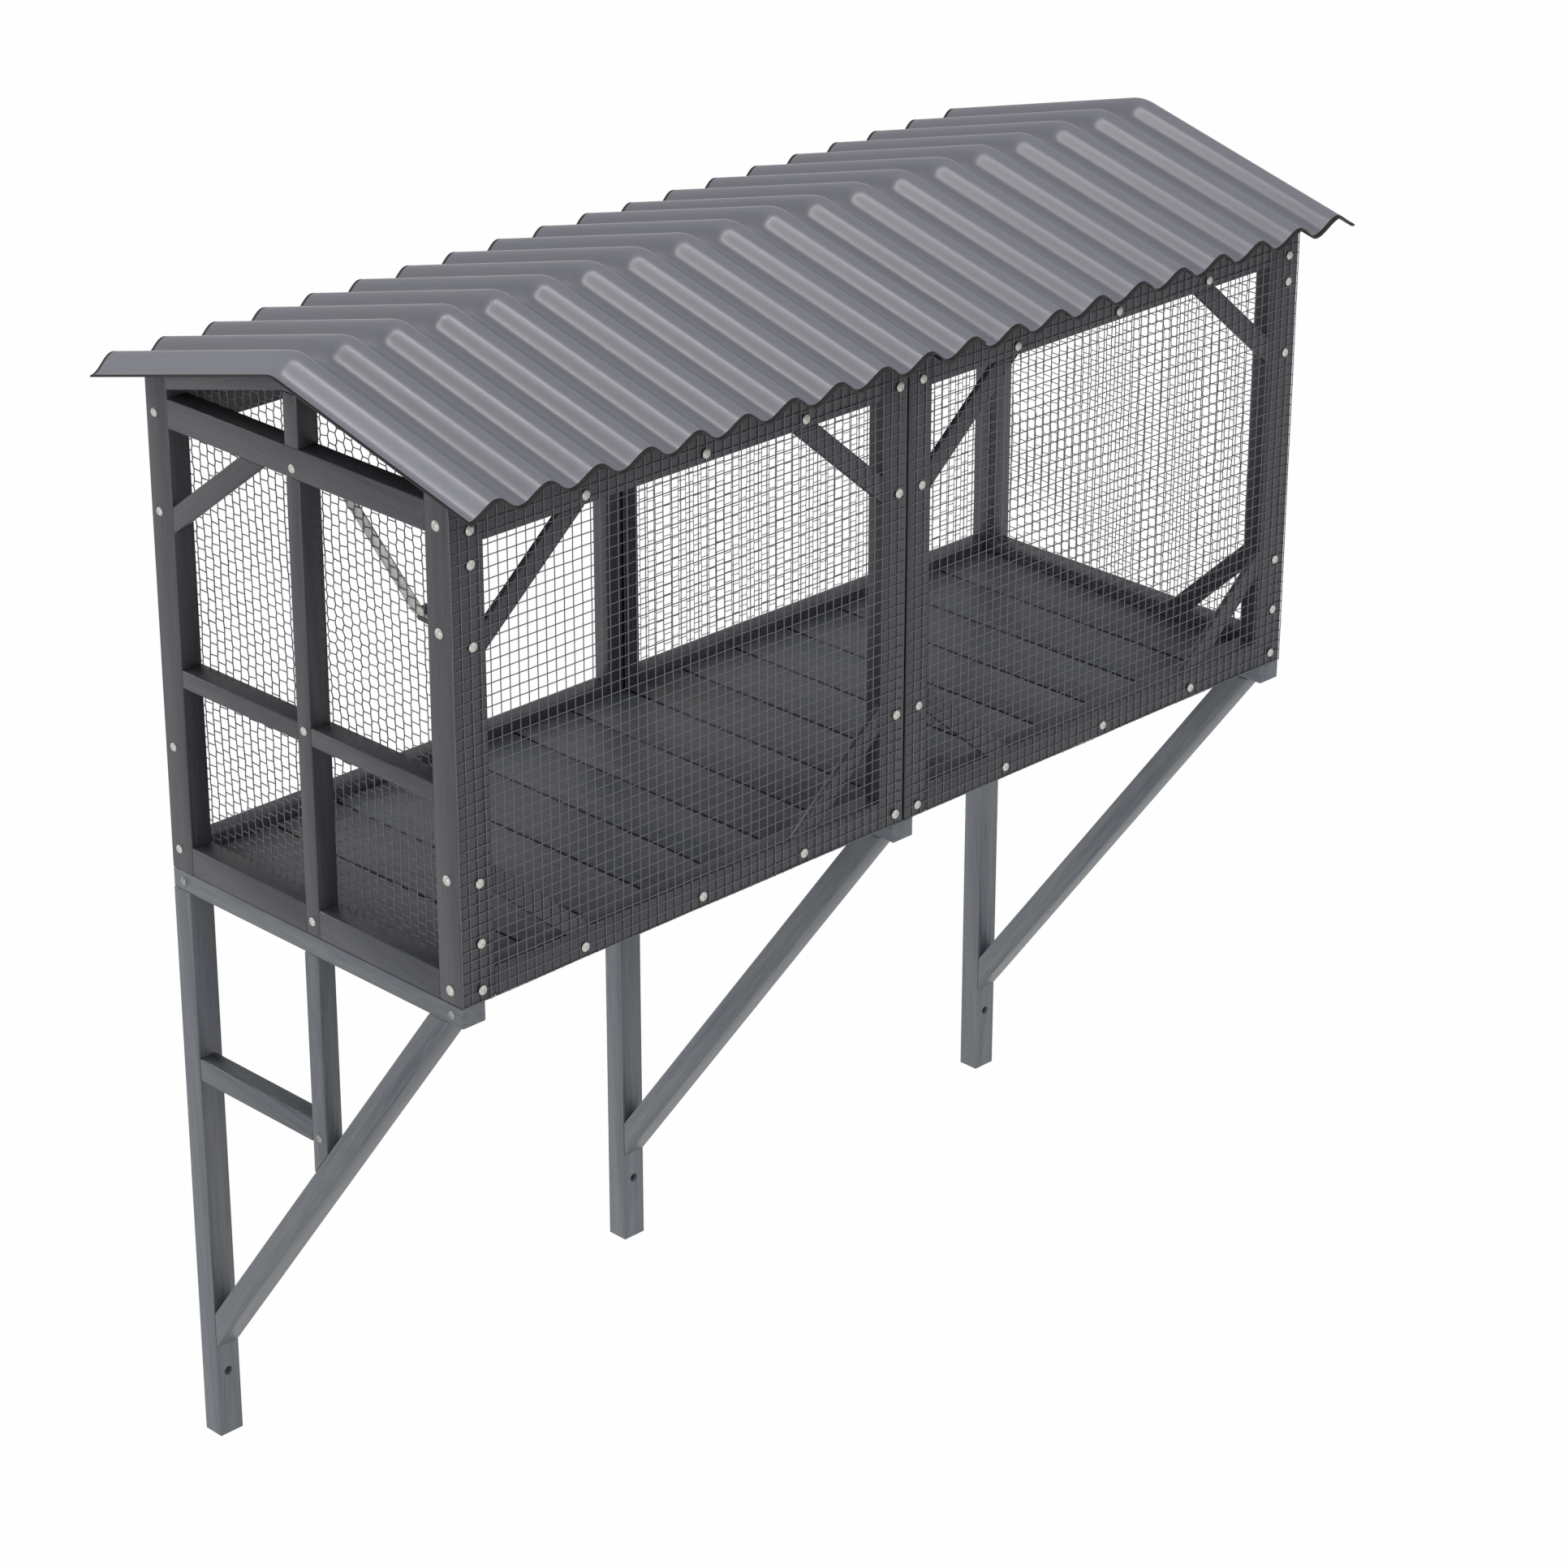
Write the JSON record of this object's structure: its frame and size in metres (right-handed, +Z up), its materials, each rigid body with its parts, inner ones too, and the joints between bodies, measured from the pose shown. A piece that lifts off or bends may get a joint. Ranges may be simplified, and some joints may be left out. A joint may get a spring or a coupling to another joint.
{
  "type": "window box catio",
  "caption": "Wall-mounted window box cat enclosure: framed wire mesh modules on triangular timber brackets, with a plank floor and a corrugated gable roof.",
  "frame": {"origin": "axis of the middle bracket's wall bolt, at the wall plane", "axes": "+X along the front, left to right as seen from the front; +Y into the wall; +Z up"},
  "size_m": [1.368, 0.619, 1.3859],
  "materials": {
    "frame_timber": "satin dark grey paint over visible grain",
    "bracket_timber": "satin mid grey paint over visible grain",
    "floor_timber": "matt dark grey paint over visible grain",
    "wire": "dark coated welded wire",
    "roof_sheet": "satin grey corrugated sheet",
    "strap_steel": "dull galvanised steel"
  },
  "bodies": {
    "root": {"bracket_arm_left": "bracket_timber", "bracket_arm_middle": "bracket_timber", "bracket_arm_right": "bracket_timber", "bracket_leg_left": "bracket_timber", "bracket_leg_middle": "bracket_timber", "bracket_leg_right": "bracket_timber", "bracket_strut_left": "bracket_timber", "bracket_strut_middle": "bracket_timber", "bracket_strut_right": "bracket_timber", "bracket_drop_post": "bracket_timber", "bracket_cross_bar": "bracket_timber", "floor_bearer_front": "frame_timber", "floor_bearer_middle": "frame_timber", "floor_bearer_back": "frame_timber", "floor_boards_left": "floor_timber", "floor_boards_right": "floor_timber", "corner_post_front_left": "frame_timber", "corner_post_front_right": "frame_timber", "corner_post_back_left": "frame_timber", "corner_post_back_right": "frame_timber", "seam_post_front_left": "frame_timber", "seam_post_front_right": "frame_timber", "seam_post_back_left": "frame_timber", "seam_post_back_right": "frame_timber", "front_top_rail_left": "frame_timber", "front_top_rail_right": "frame_timber", "front_bottom_rail_left": "frame_timber", "front_bottom_rail_right": "frame_timber", "front_braces_left": "frame_timber", "front_braces_right": "frame_timber", "front_mesh_left": "wire", "front_mesh_right": "wire", "back_top_rail_left": "frame_timber", "back_top_rail_right": "frame_timber", "back_bottom_rail_left": "frame_timber", "back_bottom_rail_right": "frame_timber", "back_mesh_right": "wire", "left_end_top_rail": "frame_timber", "left_end_mid_rail": "frame_timber", "left_end_bottom_rail": "frame_timber", "left_end_centre_post": "frame_timber", "left_end_king_post": "frame_timber", "left_end_brace": "frame_timber", "left_end_strap": "strap_steel", "left_end_strap_block": "frame_timber", "left_end_mesh": "wire", "right_end_top_rail": "frame_timber", "right_end_bottom_rail": "frame_timber", "right_end_king_post": "frame_timber", "right_end_brace": "frame_timber", "right_end_mesh": "wire", "eave_batten_front": "frame_timber", "eave_batten_back": "frame_timber", "ridge_beam": "frame_timber", "rafters_left": "frame_timber", "rafters_middle": "frame_timber", "rafters_right": "frame_timber", "roof_sheet_left": "roof_sheet", "roof_sheet_right": "roof_sheet"}
  },
  "joints": []
}
